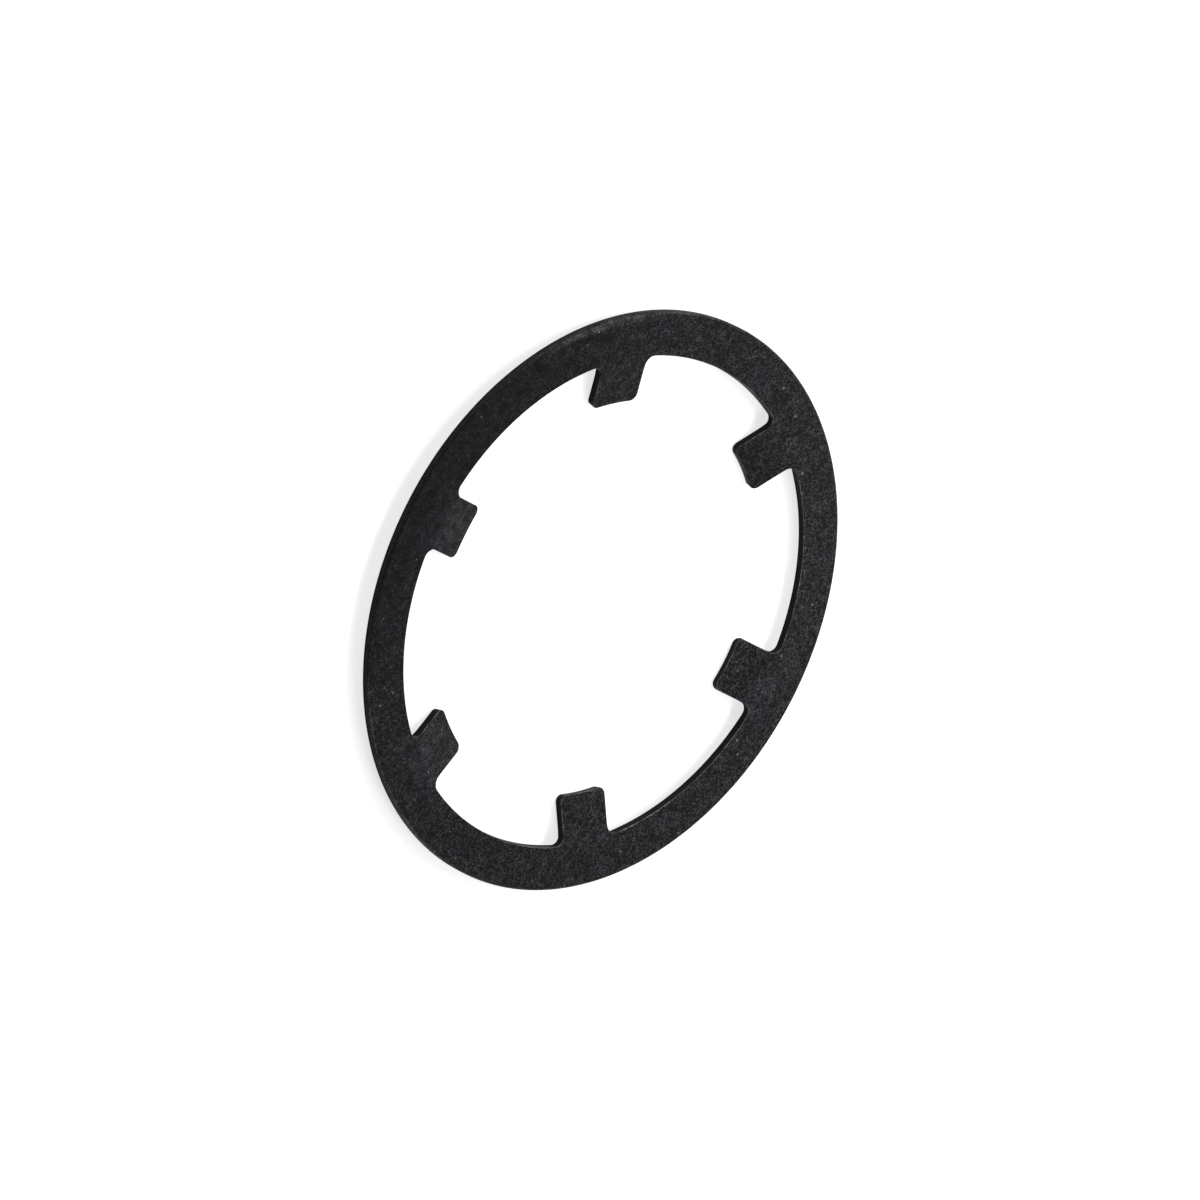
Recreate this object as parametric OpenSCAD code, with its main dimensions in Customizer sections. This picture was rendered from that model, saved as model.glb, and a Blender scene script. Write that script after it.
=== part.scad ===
// Push-on retaining ring for a plain shaft, stamped from one piece of spring steel.
// A flat rim carries gripping tabs, which are bent to the back. The ring lies on the tips
// of its tabs, front face up. The Z axis is the shaft's, and one tab lies on +X.

/* [Shaft] */
// Diameter of the shaft that the ring is pushed onto
shaft_d = 25; // [16:0.5:40]
// How much smaller than the shaft the circle of the tips is, so that they bite
bite = 0.4; // [0.1:0.05:0.8]

/* [Gripping tabs] */
// Number of tabs
tab_count = 6; // [3:1:9]
// Length of a tab, from the circle of the tips to the rim
tab_len = 3; // [2:0.1:5]
// Width of a tab
tab_w = 3.4; // [2:0.1:5]
// Radius in the corners between a tab and the rim
root_r = 0.55; // [0.3:0.05:0.9]
// Radius on the corners of a tip
corner_r = 0.45; // [0.2:0.05:0.9]

/* [Bend] */
// Angle that the tabs are bent down to the back
bend_angle = 15; // [5:1:30]
// Inside radius of the bend
bend_r = 1; // [0.5:0.1:2]
// Where the bend starts, as an angle round the root corner from its deepest point
bend_from = 30; // [20:5:60]

/* [Rim] */
// Radial width of the rim
rim_w = 2.7; // [1.5:0.1:5]
// Thickness of the sheet
sheet_t = 0.5; // [0.3:0.05:0.8]
// Radius that tumbling leaves on the outer edges of the rim
edge_r = 0.1; // [0.04:0.01:0.14]

/* [Hidden] */
$fn = 240;

tip_r = (shaft_d - bite) / 2;
inner_r = tip_r + tab_len;
outer_r = inner_r + rim_w;

// How far a trimming shape runs past the faces that it has to clear
past = 1;

// Centre of the arc in a root corner, which touches the tab's side and the rim's inner edge
root_y = tab_w / 2 + root_r;
root_x = sqrt(pow(inner_r - root_r, 2) - pow(root_y, 2));
root_turn = atan2(root_y, root_x);

// Width of a trimming shape that clears both root corners of a tab
root_clear = 2 * (root_y + root_r);

// Line across a tab where the bend starts, and the bend's outside radius. The bend's axis
// lies below that line.
bend_x = root_x + root_r * cos(bend_from);
bend_outer_r = bend_r + sheet_t;

// A tip in the plane of its bent tab, measured outwards from the bend's axis. Its edge is
// an arc of the tips' circle, and a smaller arc rounds each of its corners.
tip_x = (tip_r - bend_x + bend_outer_r * sin(bend_angle)) / cos(bend_angle);
tip_arc_x = tip_x - tip_r;
corner_y = tab_w / 2 - corner_r;
corner_turn = asin(corner_y / (tip_r + corner_r));
corner_x = tip_arc_x + (tip_r + corner_r) * cos(corner_turn);

// Height of the rim's back face, with the lowest points of the tips at zero
rim_z = bend_r * (1 - cos(bend_angle)) - (corner_x - corner_r) * sin(bend_angle);

// Copies of a tab's shapes round the ring
module each_tab() {
    for (k = [0 : tab_count - 1])
        rotate(k * 360 / tab_count)
            children();
}

// Disc with the rim's outside, rounded along both edges
module disc() {
    rotate_extrude() {
        square([outer_r - edge_r, sheet_t]);
        translate([0, edge_r])
            square([outer_r, sheet_t - 2 * edge_r]);
        for (edge_z = [edge_r, sheet_t - edge_r])
            translate([outer_r - edge_r, edge_z])
                circle(r = edge_r);
    }
}

// Plan of one root corner: the wedge between tab and rim, less the circle that rounds it
module root_corner() {
    reach = root_r + past;
    translate([root_x, root_y])
        difference() {
            polygon([
                [0, 0],
                [0, -reach],
                [reach, -reach],
                reach * [cos(root_turn), sin(root_turn)],
            ]);
            circle(r = root_r);
        }
}

// Plan of a tab with both root corners, before it is cut to length
module tab_plan() {
    translate([0, -tab_w / 2])
        square([inner_r + past, tab_w]);
    root_corner();
    mirror([0, 1])
        root_corner();
}

// Plan of the space inside the flat rim, which leaves the stub of each tab up to its bend
module rim_opening() {
    difference() {
        circle(r = inner_r);
        each_tab()
            intersection() {
                tab_plan();
                translate([bend_x, -root_clear / 2])
                    square([inner_r, root_clear]);
            }
    }
}

// The flat rim with the stubs of the tabs
module rim() {
    translate([0, 0, rim_z])
        difference() {
            disc();
            translate([0, 0, -past])
                linear_extrude(sheet_t + 2 * past)
                    rim_opening();
        }
}

// Side view of the sheet along a tab, from the start of the bend to past the tip, with the
// bend's axis at the origin
module bent_section() {
    reach = bend_outer_r + past;
    intersection() {
        difference() {
            circle(r = bend_outer_r);
            circle(r = bend_r);
        }
        polygon([[0, 0], [0, reach], [-reach * tan(bend_angle), reach]]);
    }
    rotate(bend_angle)
        translate([tip_x - past, bend_r])
            square([past - tip_x, sheet_t]);
}

// Outline of a tip in the plane of its tab. In the outer half of the tab it is wider than
// the root, which it leaves whole.
module tip_plan() {
    half_x = corner_x / 2;
    translate([corner_x, -tab_w / 2])
        square([half_x - corner_x, tab_w]);
    translate([half_x, -root_clear / 2])
        square([bend_outer_r + past - half_x, root_clear]);
    for (side = [-1, 1])
        translate([corner_x, side * corner_y])
            circle(r = corner_r);
    translate([tip_arc_x, 0])
        difference() {
            polygon([
                for (side = [-1, 1])
                    tip_r * [cos(corner_turn), side * sin(corner_turn)],
                for (side = [1, -1])
                    (tip_r + corner_r) * [cos(corner_turn), side * sin(corner_turn)],
            ]);
            circle(r = tip_r);
        }
}

// The bent part of one tab, on +X: the bent sheet, trimmed square to the rim along the
// tab's sides and square to the tab round its tip
module tab() {
    intersection() {
        translate([0, 0, -past])
            linear_extrude(rim_z + sheet_t + 2 * past)
                intersection() {
                    tab_plan();
                    translate([0, -root_y])
                        square([bend_x, 2 * root_y]);
                }
        translate([bend_x, 0, rim_z - bend_r])
            rotate([90, 0, 0])
                linear_extrude(root_clear, center = true)
                    bent_section();
        translate([bend_x, 0, rim_z - bend_r])
            rotate([0, -bend_angle, 0])
                linear_extrude(bend_outer_r + past)
                    tip_plan();
    }
}

module retaining_ring() {
    color("#2b2a2b") {
        rim();
        each_tab()
            tab();
    }
}

retaining_ring();
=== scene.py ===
# Push-on retaining ring for a plain shaft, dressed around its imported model
import math

import bpy
import numpy as np
from mathutils import Matrix, Vector


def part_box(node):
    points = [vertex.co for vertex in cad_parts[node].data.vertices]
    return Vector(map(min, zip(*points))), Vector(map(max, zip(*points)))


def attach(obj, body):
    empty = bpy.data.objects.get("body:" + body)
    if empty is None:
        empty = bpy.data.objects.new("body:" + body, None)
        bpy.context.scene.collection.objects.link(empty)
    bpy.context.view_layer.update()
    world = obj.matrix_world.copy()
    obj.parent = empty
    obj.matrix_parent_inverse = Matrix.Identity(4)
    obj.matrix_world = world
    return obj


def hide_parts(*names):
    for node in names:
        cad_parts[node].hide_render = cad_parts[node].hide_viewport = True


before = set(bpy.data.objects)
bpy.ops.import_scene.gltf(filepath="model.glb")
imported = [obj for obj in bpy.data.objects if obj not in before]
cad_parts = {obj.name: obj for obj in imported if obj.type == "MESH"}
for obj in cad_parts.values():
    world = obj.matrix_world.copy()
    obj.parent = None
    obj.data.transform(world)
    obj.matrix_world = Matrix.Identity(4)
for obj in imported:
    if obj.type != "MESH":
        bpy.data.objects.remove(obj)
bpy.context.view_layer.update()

# The ring is one stamping of spring steel strip: a flat rim with six gripping tabs, which are
# bent to the back so that their tips bite into the shaft. The cut leaves a rolled edge on the
# front, a sheared wall and a sharper edge on the back, and the whole ring is then blackened.
mm = 0.001
ring_low, ring_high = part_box("retaining_ring")
outer_r = (ring_high.x - ring_low.x) / 2
front_z = ring_high.z
sheet_t = 0.5 * mm
back_z = front_z - sheet_t
rim_w = 2.7 * mm
inner_r = outer_r - rim_w

tab_count = 6
tab_len = 3.0 * mm
tab_w = 3.4 * mm
tip_r = inner_r - tab_len
root_r = 0.55 * mm
corner_r = 0.45 * mm

# Centre of the arc in a root corner
root_y = tab_w / 2 + root_r
root_x = math.sqrt((inner_r - root_r) ** 2 - root_y ** 2)
root_turn = math.atan2(root_y, root_x)

# The bend eases in from the rim to the tab between two lines on the flat blank, and fades out
# in the rim beside the tab
bend_angle = math.radians(13.8)
bend_x = inner_r + 0.40 * mm
bend_end_x = inner_r - 0.80 * mm
bend_mid_x = (bend_x + bend_end_x) / 2
bend_fade = 1.3 * mm

# How far the bend strains the steel to either side of its middle, and how strongly each tab shows
# it as a bluish cast, from the tab on +X round
strain_w = 1.1 * mm
bend_casts = (0.3, 0.15, 1.4, 1.2, 0.4, 0.6)

# Arc of the tip on the flat blank, and the smaller arcs that round its corners
tip_reach = bend_mid_x - tip_r - sheet_t / 2 * math.sin(bend_angle)
tip_arc_x = bend_mid_x - tip_reach / math.cos(bend_angle) - tip_r
corner_y = tab_w / 2 - corner_r
corner_turn = math.asin(corner_y / (tip_r + corner_r))
corner_x = tip_arc_x + (tip_r + corner_r) * math.cos(corner_turn)

# Width of the roll on the front edges, the small rounds between roll and wall and on the back
# edges, and the roll's slope where it meets the round
outer_roll_w = 0.16 * mm
outer_round = 0.04 * mm
inner_roll_w = 0.055 * mm
inner_round = 0.025 * mm
roll_slope = math.radians(40)

# How fast the wear grows along a roll, and how far the back edges are worn
roll_wear_rise = 1.4
back_wear = 0.7

# On one side of the ring, where the gap between punch and die was wider, the outer edge rolled
# over further. Its wear keeps to the top of the sheet, and the edge itself is worn a little less.
wide_roll_w = 0.55 * mm
wide_roll_drop = 0.18 * mm
wide_roll_power = 1.4
wide_roll_turn = math.radians(66)
wide_roll_span = math.radians(19)
wide_wear = 0.9
wide_wear_rise = 1.5
wide_wear_from = 0.85
wide_edge_spared = 0.2

# On another side the outer edge's worn line is mostly taken out, as painted shade for the side that
# the lamps light less
shaded_edge_turn = math.radians(120)
shaded_edge_span = math.radians(52)
shaded_edge_spared = 0.9

# Steps of the mesh along the stretches of half an outline, down a cut edge and across a face
tip_steps = 7
corner_steps = 10
side_steps = 10
root_steps = 16
gap_steps = 34
roll_rows = 7
round_rows = 4
wall_rows = 6
tab_rows = 9
bend_rows = 8
rim_rows = 10


def cut_arc(centre, radius, start, end, count, opening):
    """One round stretch of the cut outline: centre plus radius times the direction at each turn.
    opening is 1 where the opening lies outside the arc and -1 where it lies inside, and gives
    the direction from the steel to the opening."""
    turns = np.linspace(start, end, count, endpoint=False)
    ways = np.stack([np.cos(turns), np.sin(turns)], axis=1)
    return np.array(centre) + radius * ways, opening * ways


def half_outline():
    """The cut outline on the flat blank, from the middle of a tip to the middle of the next gap:
    tip arc, tip corner, straight side, root corner and inner edge of the rim. Gives the points,
    the directions to the opening and the turns of the matching points on the outer edge."""
    half_gap = math.pi / tab_count
    tip = cut_arc((tip_arc_x, 0), tip_r, 0, corner_turn, tip_steps, -1)
    corner = cut_arc((corner_x, corner_y), corner_r, math.pi + corner_turn, math.pi / 2,
                     corner_steps, 1)
    along = np.linspace(corner_x, root_x, side_steps, endpoint=False)
    side_points = np.stack([along, np.full_like(along, tab_w / 2)], axis=1)
    side = side_points, np.broadcast_to([0.0, 1.0], side_points.shape)
    root = cut_arc((root_x, root_y), root_r, -math.pi / 2, root_turn, root_steps, -1)
    tab = [np.concatenate(parts) for parts in zip(tip, corner, side, root)]

    rim_turns = np.linspace(root_turn, half_gap, gap_steps)
    rim_ways = np.stack([np.cos(rim_turns), np.sin(rim_turns)], axis=1)
    points = np.concatenate([tab[0], inner_r * rim_ways])
    ways = np.concatenate([tab[1], -rim_ways])

    steps = np.linalg.norm(np.diff(points[: len(tab[0]) + 1], axis=0), axis=1)
    run = np.concatenate([[0], np.cumsum(steps)])
    turns = np.concatenate([root_turn * run[:-1] / run[-1], rim_turns])
    return points, ways, turns


def eased(share):
    """Share held between 0 and 1, with a soft start and end: three squares less two cubes."""
    share = np.clip(share, 0, 1)
    return share * share * (3 - 2 * share)


def one_side(turns, middle, span):
    """1 at the middle turn of a stretch of the ring, easing to 0 at a span to either side, by the
    cosine of the turn from the middle."""
    return eased((np.cos(turns - middle) - math.cos(span)) / (1 - math.cos(span)))


def cut_edge(roll_w, edge_round):
    """Section of a cut edge from the front face to the back face: a parabola for the roll, an arc
    round to the straight wall and a quarter circle at its foot. Gives each row's distance in from
    the wall, height over the back face and wear, and whether the cell after each row is wall."""
    share = np.linspace(0, 1, roll_rows)
    reach = roll_w - edge_round * (1 - math.sin(roll_slope))
    roll_in = roll_w - reach * share
    roll_drop = math.tan(roll_slope) * reach * share ** 2 / 2
    roll_wear = eased(roll_wear_rise * share)

    turn = np.linspace(roll_slope, math.pi / 2, round_rows)[1:]
    round_in = edge_round * (1 - np.sin(turn))
    round_drop = roll_drop[-1] + edge_round * (math.cos(roll_slope) - np.cos(turn))
    round_wear = np.cos(turn)

    foot = np.linspace(0, math.pi / 2, round_rows)
    foot_in = edge_round * (1 - np.cos(foot))
    foot_up = edge_round * (1 - np.sin(foot))
    foot_wear = back_wear * np.sin(2 * foot) ** 2

    wall_up = np.linspace(sheet_t - round_drop[-1], edge_round, wall_rows)[1:-1]
    plain = np.zeros_like(wall_up)
    inward = np.concatenate([roll_in, round_in, plain, foot_in])
    height = np.concatenate([sheet_t - roll_drop, sheet_t - round_drop, wall_up, foot_up])
    wear = np.concatenate([roll_wear, round_wear, plain, foot_wear])
    wall = np.arange(len(height) - 1) >= len(share) + len(turn) - 1
    return inward, height, wear, wall


def face_shares(inner, outer, turns):
    """Shares of the way across a face at which its rows lie, for each point of the outline: even
    steps along the tab, round the bend and over the rim, with one row close to each edge. Away
    from the tabs the three stretches ease into even parts of the rim."""
    least_share = 0.12
    even_after = math.radians(12)
    close_row = 0.02 * mm
    reach = outer[:, 0] - inner[:, 0]
    first = np.maximum((bend_end_x - inner[:, 0]) / reach, least_share)
    second = np.maximum((bend_x - inner[:, 0]) / reach, first + least_share)
    ease = eased((turns - root_turn) / even_after)
    first = first + ease * (1 / 3 - first)
    second = second + ease * (2 / 3 - second)
    knots = np.stack([np.zeros_like(first), first, second, np.ones_like(first)], axis=1)
    steps = np.concatenate([np.arange(1, tab_rows) / tab_rows,
                            1 + np.arange(bend_rows) / bend_rows,
                            2 + np.arange(rim_rows) / rim_rows])
    whole = steps.astype(int)
    part = steps - whole
    rows = knots[:, whole] * (1 - part) + knots[:, whole + 1] * part
    close = close_row / np.linalg.norm(outer - inner, axis=1)
    ends = np.stack([np.zeros_like(close), close, 1 - close, np.ones_like(close)], axis=1)
    return np.concatenate([ends[:, :2], rows, ends[:, 2:]], axis=1)


def beside_tab(flat):
    """1 over the width of a tab, easing to 0 in the rim on both sides of it."""
    return 1 - eased((np.abs(flat[..., 1]) - tab_w / 2) / bend_fade)


def bent(flat, height):
    """Points of the flat blank laid on the bent sheet. Past the bend line the middle of the sheet
    turns down with an eased angle, whose cosine and sine add up to its place, and the thickness
    stands square on it. Beside the tab this fades out into the flat rim."""
    fine_steps = 4000
    run = np.linspace(0, bend_x - tip_r + tab_len, fine_steps)
    turn = bend_angle * eased(run / (bend_x - bend_end_x))
    step = run[1] - run[0]
    along = np.cumsum(np.cos(turn)) * step - step * (np.cos(turn) + 1) / 2
    down = np.cumsum(np.sin(turn)) * step - step * np.sin(turn) / 2
    past = np.maximum(bend_x - flat[..., 0], 0)
    turned = np.interp(past, run, turn)
    off_middle = height - sheet_t / 2
    x = np.where(past > 0, bend_x - np.interp(past, run, along), flat[..., 0])
    x = x - off_middle * np.sin(turned)
    z = -np.interp(past, run, down) + off_middle * (np.cos(turned) - 1)
    hold = beside_tab(flat)
    x = flat[..., 0] + hold * (x - flat[..., 0])
    return np.stack([x, flat[..., 1], back_z + height + hold * z], axis=-1)


def ring_surface():
    """The whole skin as a grid: the section's loop (front face, outer edge, back face, inner
    edge) at each point of the outline, mirrored over the tab and copied round the ring. Last, the
    wide roll lowers one side by a power of the nearness to the outer edge. Gives the places,
    each point's wear, taken down on the outer edge of one side as painted shade, its height in the
    sheet and strain, and which cells are wall."""
    inner, way, turns = half_outline()
    out = np.stack([np.cos(turns), np.sin(turns)], axis=1)
    outer = outer_r * out
    outer_in, outer_up, outer_wear, wall = cut_edge(outer_roll_w, outer_round)
    inner_in, inner_up, inner_wear, wall = cut_edge(inner_roll_w, inner_round)

    def across(start, end):
        shares = face_shares(start, end, turns)[..., None]
        return start[:, None] * (1 - shares) + end[:, None] * shares

    def loop(front, outer_edge, back, inner_edge):
        return np.concatenate([front, outer_edge[..., 1:-1], back, inner_edge[..., -2:0:-1]], axis=-1)

    front = across(inner - way * inner_roll_w, outer - out * outer_roll_w)
    back = across(inner - way * inner_round, outer - out * outer_round)[:, ::-1]
    outer_edge = outer[:, None] - out[:, None] * outer_in[:, None]
    inner_edge = inner[:, None] - way[:, None] * inner_in[:, None]
    flat = loop(*[part.swapaxes(1, 2) for part in (front, outer_edge, back, inner_edge)])
    flat = flat.swapaxes(1, 2)

    plain = np.zeros(front.shape[1])
    height = loop(plain + sheet_t, outer_up, plain, inner_up)
    wear = loop(plain, outer_wear, plain, inner_wear)
    wall_cells = np.concatenate([plain[1:], wall, plain[1:], wall[::-1]])
    strain = np.exp(-((flat[..., 0] - bend_mid_x) / strain_w) ** 2) * beside_tab(flat)
    facts = np.stack(np.broadcast_arrays(wear, height / sheet_t, strain), axis=-1)

    half = bent(flat, height)
    sector = np.concatenate([half[:0:-1] * [1, -1, 1], half[:-1]])
    sector_facts = np.concatenate([facts[:0:-1], facts[:-1]])
    angles = np.arange(tab_count) * 2 * math.pi / tab_count
    cos, sin = np.cos(angles)[:, None, None], np.sin(angles)[:, None, None]
    x = cos * sector[..., 0] - sin * sector[..., 1]
    y = sin * sector[..., 0] + cos * sector[..., 1]
    z = np.broadcast_to(sector[..., 2], x.shape)
    places = np.stack([x, y, z], axis=-1).reshape(-1, *sector.shape[1:])
    facts = np.tile(sector_facts, (tab_count, 1, 1))
    facts[..., 2] *= np.repeat(bend_casts, len(sector_facts))[:, None]

    radius = np.hypot(places[..., 0], places[..., 1])
    around = np.arctan2(places[..., 1], places[..., 0])
    wide = one_side(around, wide_roll_turn, wide_roll_span)
    near = np.clip(1 - (outer_r - radius) / wide_roll_w, 0, 1)
    places[..., 2] -= facts[..., 1] * wide_roll_drop * wide * near ** wide_roll_power

    rolled = wide_wear * wide ** 2 * eased(wide_wear_rise * near)
    rolled = np.where(facts[..., 1] > wide_wear_from, rolled, 0)
    outside = radius > inner_r + rim_w / 2
    # Painted shade: the worn line is taken down on the outer edge of one side, and less on the wide
    # roll for wear
    shaded_edge = one_side(around, shaded_edge_turn, shaded_edge_span) * outside
    spared_and_shaded = (1 - shaded_edge_spared * shaded_edge) * (1 - wide_edge_spared * wide)
    facts[..., 0] = np.maximum(facts[..., 0] * spared_and_shaded, rolled)
    return places, facts, np.broadcast_to(wall_cells, places.shape[:2])


def closed_mesh(name, places):
    """A mesh over a grid whose rows and columns both close on themselves, one face for each
    cell, with its faces pointing outwards."""
    columns, rows = places.shape[:2]
    index = np.arange(columns * rows).reshape(columns, rows)
    over = np.roll(index, -1, axis=0)
    corners = [index, np.roll(index, -1, axis=1), np.roll(over, -1, axis=1), over]
    faces = np.stack(corners, axis=-1).reshape(-1, 4)[:, ::-1]
    mesh = bpy.data.meshes.new(name)
    mesh.from_pydata(places.reshape(-1, 3), [], faces)
    mesh.shade_smooth()
    mesh.validate()
    return mesh


places, point_facts, wall_cells = ring_surface()
fact_names = ("wear", "height", "strain")
ring_mesh = closed_mesh("blackened_ring", places)
for fact, fact_name in enumerate(fact_names):
    layer = ring_mesh.attributes.new(fact_name, "FLOAT", "POINT")
    layer.data.foreach_set("value", point_facts[..., fact].astype(np.float32).ravel())
ring = bpy.data.objects.new("blackened_ring", ring_mesh)
bpy.context.scene.collection.objects.link(ring)

# The finish is a thin black oxide, matt and fine-grained, with paler crystals painted bright as
# glints, a bluish cast where the steel was bent, and a paler worn line along the edges.
oxide_mid = (0.0125, 0.0123, 0.0122, 1)
oxide_dark = (0.0042, 0.0041, 0.0043, 1)
oxide_pale = (0.0640, 0.0640, 0.0632, 1)
oxide_blue = (0.0290, 0.0290, 0.0350, 1)
crystal_glint = (0.170, 0.168, 0.165, 1)
plain_cast = (0.95, 0.97, 0.92, 1)
violet_cast = (1.07, 0.965, 1.14, 1)
worn_steel = (0.0680, 0.0674, 0.0668, 1)
bright_steel = (0.1400, 0.1380, 0.1350, 1)
oxide_sheen = 0.030
bump_strength = 0.7

# Sizes of the features in the oxide
relief_size = 0.095 * mm
grain_size = 0.082 * mm
crystal_cell = 0.36 * mm
cluster_size = 0.6 * mm
patch_size = 1.3 * mm
cloud_size = 2.6 * mm

# One side of the ring is calmer, with fainter grain, and painted shade darkens it by this share,
# standing in for the lesser light that falls there
calm_shaded_turn = math.radians(105)
calm_shaded_way = (math.cos(calm_shaded_turn), math.sin(calm_shaded_turn), 0)
painted_shade_depth = 0.58


def add_node(tree, kind, inputs, **settings):
    """Adds a shader node with these settings, and fills its inputs, by name or number, with a
    value or with another node's output."""
    made = tree.nodes.new(kind)
    for setting, value in settings.items():
        setattr(made, setting, value)
    for key, value in inputs.items():
        if isinstance(value, bpy.types.NodeSocket):
            tree.links.new(value, made.inputs[key])
        else:
            made.inputs[key].default_value = value
    return made


def noise(tree, where, size, detail=2.0, rough=0.5):
    """Noise from 0 to 1, about 0.5, with features of this size."""
    made = add_node(tree, "ShaderNodeTexNoise",
                    {"Vector": where, "Scale": 1 / size, "Detail": detail, "Roughness": rough})
    return made.outputs[0]


def cells(tree, where, size):
    """Cells of this size: the distance from the middle of each, in sizes, and a number from 0 to
    1 that each cell draws."""
    made = add_node(tree, "ShaderNodeTexVoronoi", {"Vector": where, "Scale": 1 / size})
    drawn = add_node(tree, "ShaderNodeSeparateColor", {"Color": made.outputs["Color"]})
    return made.outputs["Distance"], drawn.outputs["Red"]


def ramp(tree, value, low, high, to_low=0.0, to_high=1.0):
    """A value eased from to_low to to_high as it goes from low to high."""
    made = add_node(tree, "ShaderNodeMapRange",
                    {"Value": value, "From Min": low, "From Max": high,
                     "To Min": to_low, "To Max": to_high}, interpolation_type="SMOOTHSTEP")
    return made.outputs["Result"]


def maths(tree, operation, *values):
    """One step of arithmetic."""
    return add_node(tree, "ShaderNodeMath", dict(enumerate(values)), operation=operation).outputs[0]


def tint(tree, share, under, over, blend="MIX"):
    """Colour under, turned into colour over, or into their product, by this share."""
    made = add_node(tree, "ShaderNodeMix", {0: share, 6: under, 7: over}, data_type="RGBA",
                    blend_type=blend)
    return made.outputs[2]


def tint_value(tree, share, under, over):
    """Value under, turned into value over by this share."""
    return add_node(tree, "ShaderNodeMix", {0: share, 2: under, 3: over}).outputs[0]


def oxide_grain():
    """The grain of the black oxide: fine pale grains that gather in clusters, dark pits between
    them, a few crystals painted bright as glints, and cloudy patches. Towards one side of the ring
    the grains and pits fade a little, and the grains between the clusters most, and that side gets
    a mask for painted shade. Puts out a mask of each and a height."""
    group = bpy.data.node_groups.new("oxide_grain", "ShaderNodeTree")
    group.interface.new_socket("Where", in_out="INPUT", socket_type="NodeSocketVector")
    for name in ("Pale", "Pit", "Crystal_glint", "Cloud", "Patch", "Cluster", "Shaded_side", "Height"):
        group.interface.new_socket(name, in_out="OUTPUT", socket_type="NodeSocketFloat")
    where = group.nodes.new("NodeGroupInput").outputs["Where"]
    relief = noise(group, where, relief_size, detail=2, rough=0.65)
    cluster = noise(group, where, cluster_size, detail=3, rough=0.6)
    cloud = noise(group, where, cloud_size, detail=4, rough=0.55)
    patch = noise(group, where, patch_size, detail=3, rough=0.55)

    across = add_node(group, "ShaderNodeVectorMath", {0: where, 1: calm_shaded_way},
                      operation="DOT_PRODUCT").outputs["Value"]
    lively_to = -0.4 * outer_r
    calm_from = 0.9 * outer_r
    coarse = ramp(group, across, lively_to, calm_from, to_low=0.94, to_high=0.88)
    loose = ramp(group, across, lively_to, calm_from, to_low=0.55, to_high=0.25)
    # The side that painted shade darkens
    shaded_side = ramp(group, across, 0.5 * outer_r, 0.95 * outer_r)

    grain_share = 0.65
    grain = tint_value(group, grain_share, relief, cells(group, where, grain_size)[1])
    gathered = ramp(group, cluster, 0.34, 0.66, to_low=loose, to_high=1.0)
    pale = maths(group, "MULTIPLY", ramp(group, grain, 0.48, 0.80), gathered)
    pale = maths(group, "MULTIPLY", pale, coarse)
    pit = maths(group, "MULTIPLY", ramp(group, grain, 0.50, 0.24), coarse)

    largest_crystal = 0.34
    crystal_rim = 0.08
    distance, drawn = cells(group, where, crystal_cell)
    size = ramp(group, drawn, 0.6, 1.0, to_low=0.0, to_high=largest_crystal)
    size = maths(group, "MULTIPLY", size, ramp(group, cluster, 0.46, 0.66))
    size = maths(group, "MULTIPLY", size, coarse)
    crystal = ramp(group, maths(group, "SUBTRACT", size, distance), 0.0, crystal_rim)
    outputs = {"Pale": pale, "Pit": pit, "Crystal_glint": crystal, "Cloud": cloud, "Patch": patch,
               "Cluster": cluster, "Shaded_side": shaded_side, "Height": relief}
    add_node(group, "NodeGroupOutput", outputs)
    return group


grain_group = oxide_grain()


def new_material(name):
    """An empty material, with the object's coordinates, the ring's own facts and the grain of the
    oxide to read."""
    made = bpy.data.materials.new(name)
    made.use_nodes = True
    made.node_tree.nodes.clear()
    tree = made.node_tree
    where = add_node(tree, "ShaderNodeTexCoord", {}).outputs["Object"]
    facts = {
        fact: add_node(tree, "ShaderNodeAttribute", {}, attribute_name=fact).outputs["Fac"]
        for fact in fact_names
    }
    grain = add_node(tree, "ShaderNodeGroup", {"Where": where}, node_tree=grain_group)
    return made, tree, where, facts, grain.outputs


def from_middle(tree, where):
    """Distance from the ring's middle."""
    return add_node(tree, "ShaderNodeVectorMath", {0: where}, operation="LENGTH").outputs["Value"]


def outer_side(tree, radius):
    """0 on the inner third of the rim and inside it, easing to 1 on its outer third."""
    return ramp(tree, radius, inner_r + rim_w / 3, inner_r + 2 * rim_w / 3)


# The faces show the grain in full. Rubbing has left fine streaks along the edges, which are
# brighter round the opening than on the outside.
face, tree, where, facts, grain = new_material("blackened_face")
streak_len = 2.0 * mm
streak_w = 0.06 * mm
grain_depth = 0.020 * mm
pale_rough = 0.28
worn_rough = 0.38
blotched = ramp(tree, grain["Cluster"], 0.34, 0.56, to_low=0.1, to_high=0.9)
colour = tint(tree, maths(tree, "MULTIPLY", facts["strain"], blotched), oxide_mid, oxide_blue)
colour = tint(tree, grain["Pale"], colour, oxide_pale)
colour = tint(tree, grain["Pit"], colour, oxide_dark)
# Painted shade: the calmer side is darkened towards the dark oxide, standing in for the lesser light
# there
colour = tint(tree, maths(tree, "MULTIPLY", grain["Shaded_side"], painted_shade_depth), colour, oxide_dark)
cast = tint(tree, ramp(tree, grain["Cloud"], 0.40, 0.60), plain_cast, violet_cast)
colour = tint(tree, 1.0, colour, cast, "MULTIPLY")
shade = ramp(tree, grain["Patch"], 0.36, 0.64, to_low=0.83, to_high=1.15)
colour = tint(tree, 1.0, colour, shade, "MULTIPLY")
# Painted glint: the crystals are painted in a bright colour
colour = tint(tree, grain["Crystal_glint"], colour, crystal_glint)

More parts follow.
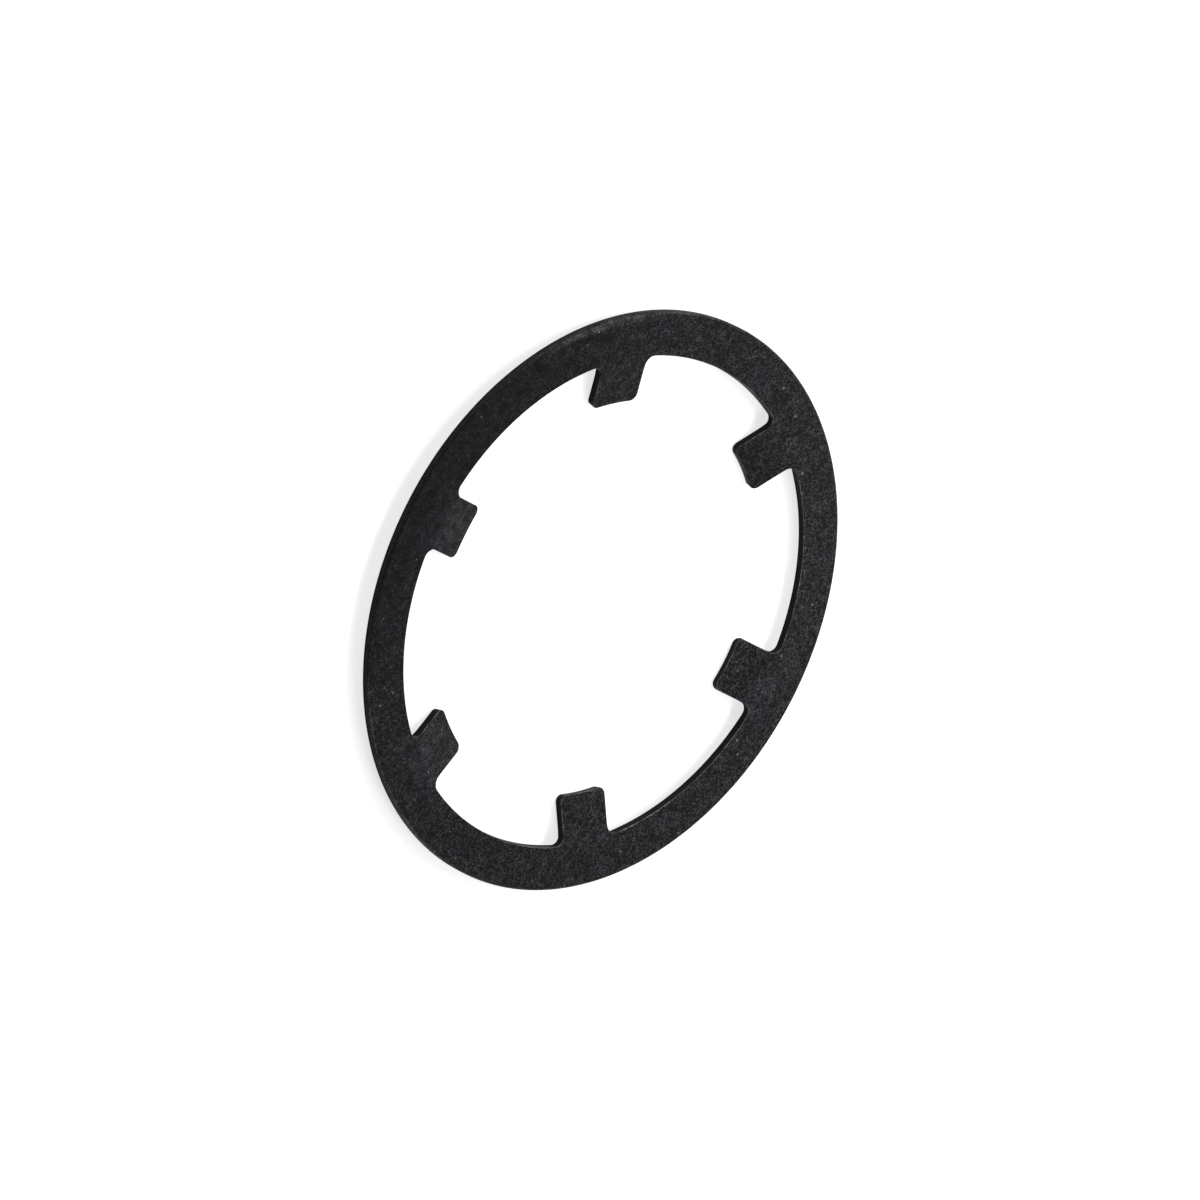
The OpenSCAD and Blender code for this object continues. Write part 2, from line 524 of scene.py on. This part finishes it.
split = add_node(tree, "ShaderNodeSeparateXYZ", {"Vector": where}).outputs
radius = from_middle(tree, where)
streak_place = add_node(tree, "ShaderNodeCombineXYZ",
                        {"X": maths(tree, "DIVIDE", split["X"], streak_len),
                         "Y": maths(tree, "DIVIDE", split["Y"], streak_len),
                         "Z": maths(tree, "DIVIDE", radius, streak_w)}).outputs[0]
streaks = noise(tree, streak_place, 1.0, detail=2)
# The wear fact also carries painted shade: it is taken down along the outer edge of one side
worn = facts["wear"]
for pattern in (ramp(tree, grain["Cluster"], 0.32, 0.60, to_low=0.6),
                ramp(tree, streaks, 0.38, 0.58, to_low=0.45),
                ramp(tree, grain["Height"], 0.38, 0.60, to_low=0.35)):
    worn = maths(tree, "MULTIPLY", worn, pattern)
rubbed = tint(tree, outer_side(tree, radius), bright_steel, worn_steel)
colour = tint(tree, worn, colour, rubbed)
rough = ramp(tree, grain["Cluster"], 0.38, 0.62, to_low=0.64, to_high=0.40)
rough = tint_value(tree, grain["Pale"], rough, pale_rough)
rough = tint_value(tree, worn, rough, worn_rough)
bump = add_node(tree, "ShaderNodeBump",
                {"Height": grain["Height"], "Distance": grain_depth, "Strength": bump_strength})
surface = add_node(tree, "ShaderNodeBsdfPrincipled",
                   {"Base Color": colour, "Metallic": worn, "Roughness": rough,
                    "Normal": bump.outputs["Normal"], "Specular IOR Level": oxide_sheen})
add_node(tree, "ShaderNodeOutputMaterial", {"Surface": surface.outputs["BSDF"]})

# The sheared walls are darker, and those round the opening darkest of all, painted in shade.
# Their upper part was burnished by the punch and is smooth, and below an uneven line the steel
# broke away and is rough, with fine upright lines all over.
sheared, tree, where, facts, grain = new_material("sheared_wall")
burnished = (0.0210, 0.0204, 0.0210, 1)
broken = (0.0150, 0.0146, 0.0150, 1)
# Painted shade for the walls round the opening
inside = (0.0075, 0.0073, 0.0075, 1)
upright_squeeze = (1, 1, 0.08)
line_w = 0.10 * mm
line_depth = 0.014 * mm
break_wander = 0.8 * mm
break_blur = 0.03
line_share = 0.12
pit_share = 0.5
worn_share = 0.2
grain_relief = 0.6
upright = add_node(tree, "ShaderNodeMapping", {"Vector": where, "Scale": upright_squeeze}).outputs[0]
lines = noise(tree, upright, line_w, detail=2)
wander = noise(tree, upright, break_wander, detail=3)
break_height = ramp(tree, wander, 0.3, 0.7, to_low=0.35, to_high=0.60)
above_break = maths(tree, "SUBTRACT", facts["height"], break_height)
smooth = ramp(tree, above_break, -break_blur, break_blur)
colour = tint(tree, smooth, broken, burnished)
colour = tint(tree, ramp(tree, lines, 0.45, 0.70, to_high=line_share), colour, oxide_pale)
colour = tint(tree, maths(tree, "MULTIPLY", grain["Pit"], pit_share), colour, oxide_dark)
colour = tint(tree, maths(tree, "MULTIPLY", facts["wear"], worn_share), colour, worn_steel)
# Painted shade: the walls round the opening take the darker inside colour
colour = tint(tree, outer_side(tree, from_middle(tree, where)), inside, colour)
rough = ramp(tree, smooth, 0, 1, to_low=0.62, to_high=0.45)
relief = maths(tree, "ADD", lines, maths(tree, "MULTIPLY", grain["Height"], grain_relief))
bump = add_node(tree, "ShaderNodeBump",
                {"Height": relief, "Distance": line_depth, "Strength": bump_strength})
surface = add_node(tree, "ShaderNodeBsdfPrincipled",
                   {"Base Color": colour, "Roughness": rough, "Normal": bump.outputs["Normal"],
                    "Specular IOR Level": oxide_sheen})
add_node(tree, "ShaderNodeOutputMaterial", {"Surface": surface.outputs["BSDF"]})

ring_mesh.materials.append(face)
ring_mesh.materials.append(sheared)
ring_mesh.polygons.foreach_set("material_index", wall_cells.astype(np.int32).ravel())

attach(ring, "root")
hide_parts("retaining_ring")

# The ring lies on a plain white table. Whatever looks at the table sees it lifted to white,
# and the ring's soft shadow stays on it.
table_half = 3.0
table_drop = 0.01 * mm
table_paint = (0.8, 0.8, 0.8, 1)
table_lift = 0.72
white = (1, 1, 1, 1)
table_corners = [(x * table_half, y * table_half, -table_drop)
                 for x, y in ((-1, -1), (1, -1), (1, 1), (-1, 1))]
table_mesh = bpy.data.meshes.new("table")
table_mesh.from_pydata(table_corners, [], [(0, 1, 2, 3)])
table = bpy.data.objects.new("table", table_mesh)
bpy.context.scene.collection.objects.link(table)


def seen_rays(tree):
    """1 for the rays that see a background: from the camera, and on from gloss and glass."""
    path = add_node(tree, "ShaderNodeLightPath", {})
    seen = maths(tree, "MAXIMUM", path.outputs["Is Camera Ray"], path.outputs["Is Glossy Ray"])
    return maths(tree, "MAXIMUM", seen, path.outputs["Is Transmission Ray"])


table_white = bpy.data.materials.new("table_white")
table_white.use_nodes = True
tree = table_white.node_tree
tree.nodes.clear()
paint = add_node(tree, "ShaderNodeBsdfDiffuse", {"Color": table_paint})
lift_strength = maths(tree, "MULTIPLY", seen_rays(tree), table_lift)
lifted = add_node(tree, "ShaderNodeEmission", {"Color": white, "Strength": lift_strength})
both = add_node(tree, "ShaderNodeAddShader", {0: paint.outputs[0], 1: lifted.outputs[0]})
add_node(tree, "ShaderNodeOutputMaterial", {"Surface": both.outputs[0]})
table_mesh.materials.append(table_white)

# Soft daylight comes from the whole room, which is white where it is looked at.
room_light = 0.05
room = bpy.data.worlds.new("room")
room.use_nodes = True
tree = room.node_tree
tree.nodes.clear()
room_strength = ramp(tree, seen_rays(tree), 0, 1, to_low=room_light, to_high=1)
room_glow = add_node(tree, "ShaderNodeBackground", {"Color": white, "Strength": room_strength})
add_node(tree, "ShaderNodeOutputWorld", {"Surface": room_glow.outputs[0]})
bpy.context.scene.world = room


def softbox(name, turn, rise, distance, size, level):
    """A square lamp that faces the ring from this turn about Z and this rise over the table, in
    degrees. level is the brightness that it gives a white card that faces it at the ring: its
    power is level times pi squared times the distance squared."""
    lamp = bpy.data.lights.new(name, "AREA")
    lamp.size = size
    lamp.energy = level * math.pi ** 2 * distance ** 2
    turn, rise = math.radians(turn), math.radians(rise)
    way = Vector((math.cos(turn) * math.cos(rise), math.sin(turn) * math.cos(rise), math.sin(rise)))
    placed = bpy.data.objects.new(name, lamp)
    placed.location = way * distance
    placed.rotation_euler = way.to_track_quat("Z", "Y").to_euler()
    placed.visible_camera = False
    bpy.context.scene.collection.objects.link(placed)


# Two soft lamps close on the right, one above the far side, a weak low one across the ring from
# the camera, and a wide pale card on the camera's side.
softbox("key_lamp", turn=8, rise=48, distance=0.10, size=0.05, level=0.42)
softbox("side_lamp", turn=330, rise=60, distance=0.10, size=0.05, level=0.25)
softbox("back_lamp", turn=252, rise=60, distance=0.09, size=0.05, level=0.23)
softbox("far_lamp", turn=306, rise=17, distance=0.07, size=0.035, level=0.175)
softbox("fill_card", turn=82, rise=16, distance=0.40, size=0.22, level=0.36)

# The camera looks down on the ring from the photograph's side, from far off with a long lens,
# and is rolled as the photograph is.
view_turn = math.radians(209.80)
view_rise = math.radians(44.34)
view_roll = math.radians(116.80)
view_aim = Vector((-0.139, 0.209, 0.927)) * mm
view_distance = 1.08
view_lens = 550.4
view_film_w = 36

level_right = Vector((math.cos(view_turn), math.sin(view_turn), 0))
view_back = Vector((math.sin(view_turn) * math.cos(view_rise),
                    -math.cos(view_turn) * math.cos(view_rise), math.sin(view_rise)))
level_up = view_back.cross(level_right)
view_right = level_right * math.cos(view_roll) + level_up * math.sin(view_roll)
view_up = level_up * math.cos(view_roll) - level_right * math.sin(view_roll)
camera = bpy.data.objects.new("camera", bpy.data.cameras.new("camera"))
camera.data.lens = view_lens
camera.data.sensor_width = view_film_w
axes = Matrix((view_right, view_up, view_back)).transposed()
camera.matrix_world = Matrix.Translation(view_aim + view_back * view_distance) @ axes.to_4x4()
bpy.context.scene.collection.objects.link(camera)
bpy.context.scene.camera = camera
bpy.context.scene.view_settings.view_transform = "Standard"
